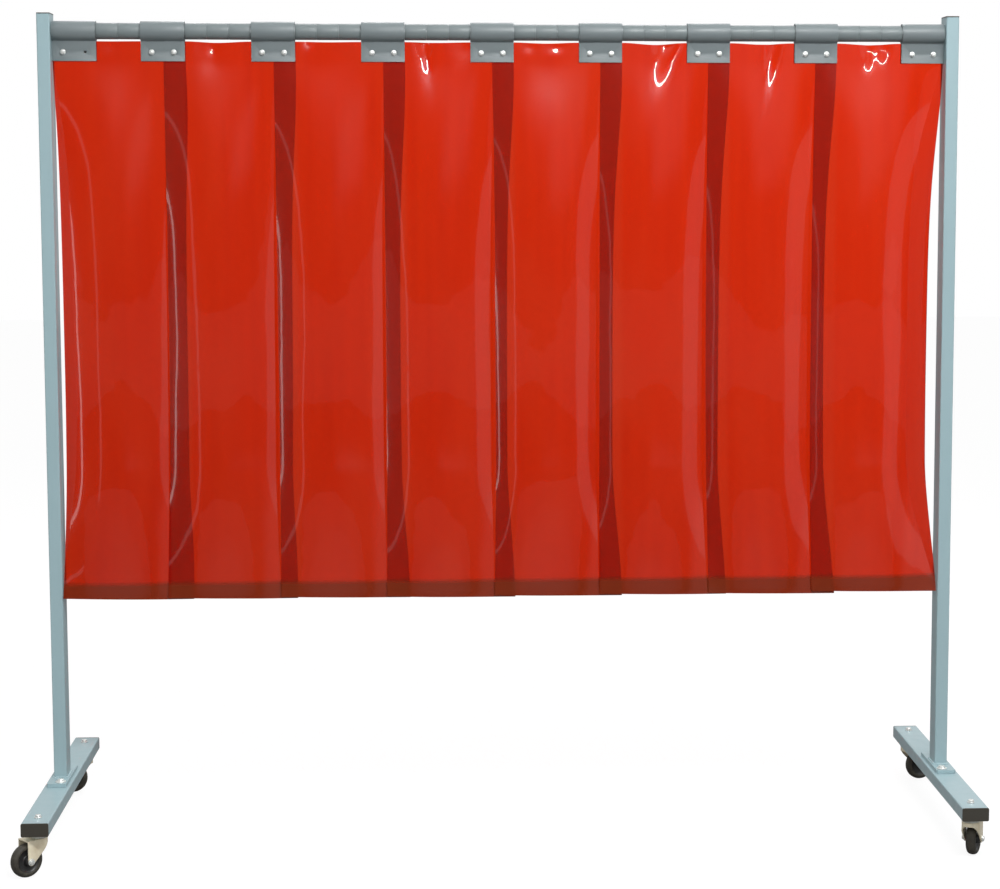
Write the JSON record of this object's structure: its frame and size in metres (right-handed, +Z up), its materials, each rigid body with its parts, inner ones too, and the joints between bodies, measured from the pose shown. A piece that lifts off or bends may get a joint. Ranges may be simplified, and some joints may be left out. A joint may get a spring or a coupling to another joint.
{
  "type": "mobile welding curtain screen",
  "caption": "Mobile welding screen: two steel posts on castered feet carry a rail from which clamped, overlapping tinted PVC strips hang and swing.",
  "frame": {"origin": "on the floor, midway between the two feet, under the middle of the rail", "axes": "+X along the rail towards the right-hand post as seen from the front, +Y to the back, +Z up"},
  "size_m": [2.2182, 0.8032, 1.9],
  "materials": {
    "frame_paint": "satin blue-grey paint",
    "black_plastic": "moulded black plastic",
    "grey_plastic": "smooth grey plastic",
    "rail_steel": "galvanised tube",
    "zinc": "bright zinc plate",
    "fork_zinc": "yellowish passivated zinc plate",
    "rubber": "dull black rubber",
    "pvc": "glossy translucent orange-red PVC sheet"
  },
  "bodies": {
    "frame": {"left_post": "frame_paint", "left_post_cap": "black_plastic", "left_foot": "frame_paint", "left_foot_front_cap": "black_plastic", "left_foot_rear_cap": "black_plastic", "left_base_bolts": "zinc", "right_post": "frame_paint", "right_post_cap": "black_plastic", "right_foot": "frame_paint", "right_foot_front_cap": "black_plastic", "right_foot_rear_cap": "black_plastic", "right_base_bolts": "zinc", "rail": "rail_steel", "spacer_clips_1": "grey_plastic", "spacer_clips_2": "grey_plastic", "spacer_clips_3": "grey_plastic", "spacer_clips_4": "grey_plastic", "spacer_clips_5": "grey_plastic", "spacer_clips_6": "grey_plastic", "spacer_clips_7": "grey_plastic", "spacer_clips_8": "grey_plastic", "left_front_caster_stem": "zinc", "right_front_caster_stem": "zinc", "left_rear_caster_stem": "zinc", "right_rear_caster_stem": "zinc"},
    "curtain": {"clamp_1": "grey_plastic", "clamp_screws_1": "zinc", "clamp_2": "grey_plastic", "clamp_screws_2": "zinc", "clamp_3": "grey_plastic", "clamp_screws_3": "zinc", "clamp_4": "grey_plastic", "clamp_screws_4": "zinc", "clamp_5": "grey_plastic", "clamp_screws_5": "zinc", "clamp_6": "grey_plastic", "clamp_screws_6": "zinc", "clamp_7": "grey_plastic", "clamp_screws_7": "zinc", "clamp_8": "grey_plastic", "clamp_screws_8": "zinc", "clamp_9": "grey_plastic", "clamp_screws_9": "zinc", "strip_1": "pvc", "strip_2": "pvc", "strip_3": "pvc", "strip_4": "pvc", "strip_5": "pvc", "strip_6": "pvc", "strip_7": "pvc", "strip_8": "pvc"},
    "fork_left_front": {"left_front_caster_fork": "fork_zinc"},
    "wheel_left_front": {"left_front_caster_wheel": "rubber"},
    "fork_right_front": {"right_front_caster_fork": "fork_zinc"},
    "wheel_right_front": {"right_front_caster_wheel": "rubber"},
    "fork_left_rear": {"left_rear_caster_fork": "fork_zinc"},
    "wheel_left_rear": {"left_rear_caster_wheel": "rubber"},
    "fork_right_rear": {"right_rear_caster_fork": "fork_zinc"},
    "wheel_right_rear": {"right_rear_caster_wheel": "rubber"}
  },
  "joints": [
    {"name": "curtain_swing", "type": "hinge", "parent": "frame", "child": "curtain", "pos_m": [0, 0, 1.8605], "axis": [1, 0, 0], "range_deg": [-60, 60]},
    {"name": "left_front_swivel", "type": "hinge", "parent": "frame", "child": "fork_left_front", "pos_m": [-1.04, -0.35, 0.088], "axis": [0, 0, 1], "continuous": true},
    {"name": "left_front_roll", "type": "hinge", "parent": "fork_left_front", "child": "wheel_left_front", "pos_m": [-1.06378, -0.37141, 0.0375], "axis": [0.6691, -0.7431, 0], "continuous": true},
    {"name": "right_front_swivel", "type": "hinge", "parent": "frame", "child": "fork_right_front", "pos_m": [1.04, -0.35, 0.088], "axis": [0, 0, 1], "continuous": true},
    {"name": "right_front_roll", "type": "hinge", "parent": "fork_right_front", "child": "wheel_right_front", "pos_m": [1.05403, -0.32124, 0.0375], "axis": [-0.8988, 0.4384, 0], "continuous": true},
    {"name": "left_rear_swivel", "type": "hinge", "parent": "frame", "child": "fork_left_rear", "pos_m": [-1.04, 0.35, 0.088], "axis": [0, 0, 1], "continuous": true},
    {"name": "left_rear_roll", "type": "hinge", "parent": "fork_left_rear", "child": "wheel_left_rear", "pos_m": [-1.07151, 0.35556, 0.0375], "axis": [-0.1736, -0.9848, 0], "continuous": true},
    {"name": "right_rear_swivel", "type": "hinge", "parent": "frame", "child": "fork_right_rear", "pos_m": [1.04, 0.35, 0.088], "axis": [0, 0, 1], "continuous": true},
    {"name": "right_rear_roll", "type": "hinge", "parent": "fork_right_rear", "child": "wheel_right_rear", "pos_m": [1.0706, 0.35936, 0.0375], "axis": [-0.2924, 0.9563, 0], "continuous": true}
  ]
}
